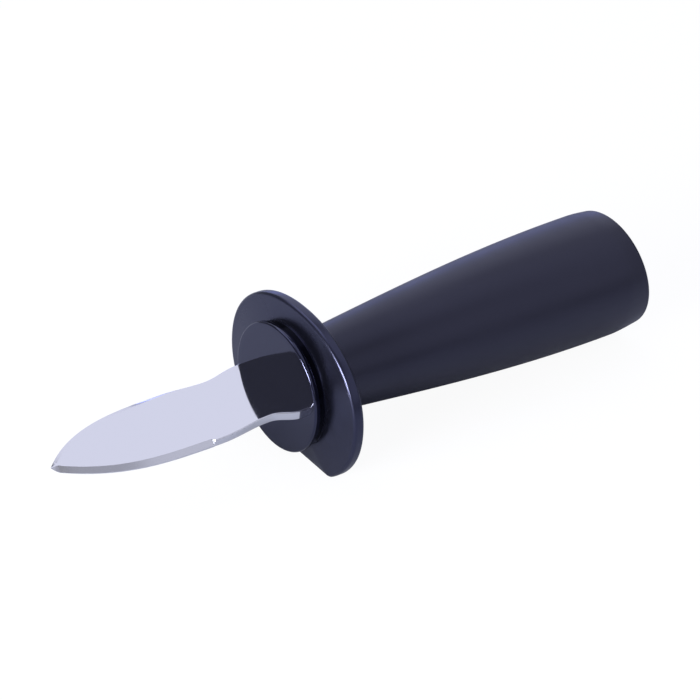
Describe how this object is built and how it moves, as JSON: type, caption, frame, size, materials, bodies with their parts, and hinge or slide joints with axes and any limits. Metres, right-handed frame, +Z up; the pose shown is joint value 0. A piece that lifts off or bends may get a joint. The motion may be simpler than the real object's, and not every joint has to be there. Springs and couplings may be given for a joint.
{
  "type": "oyster knife",
  "caption": "Oyster knife: short bevelled spear blade, round hub and oval hand guard with a flat foot, round tapering handle with a slanted butt.",
  "frame": {"origin": "below the middle of the knife's length, on the plane of the guard's flat foot", "axes": "+X along the handle's axis towards the tip, +Z up from the foot, +Y across the blade"},
  "size_m": [0.1664, 0.0506, 0.0376],
  "materials": {
    "steel": "mirror polished stainless steel",
    "pin_steel": "plain drawn steel wire",
    "gloss_black": "gloss injection-moulded black plastic",
    "satin_black": "satin black plastic with a fine texture"
  },
  "bodies": {
    "root": {"blade": "steel", "guard": "gloss_black", "handle": "satin_black", "tang_pin": "pin_steel"}
  },
  "joints": []
}
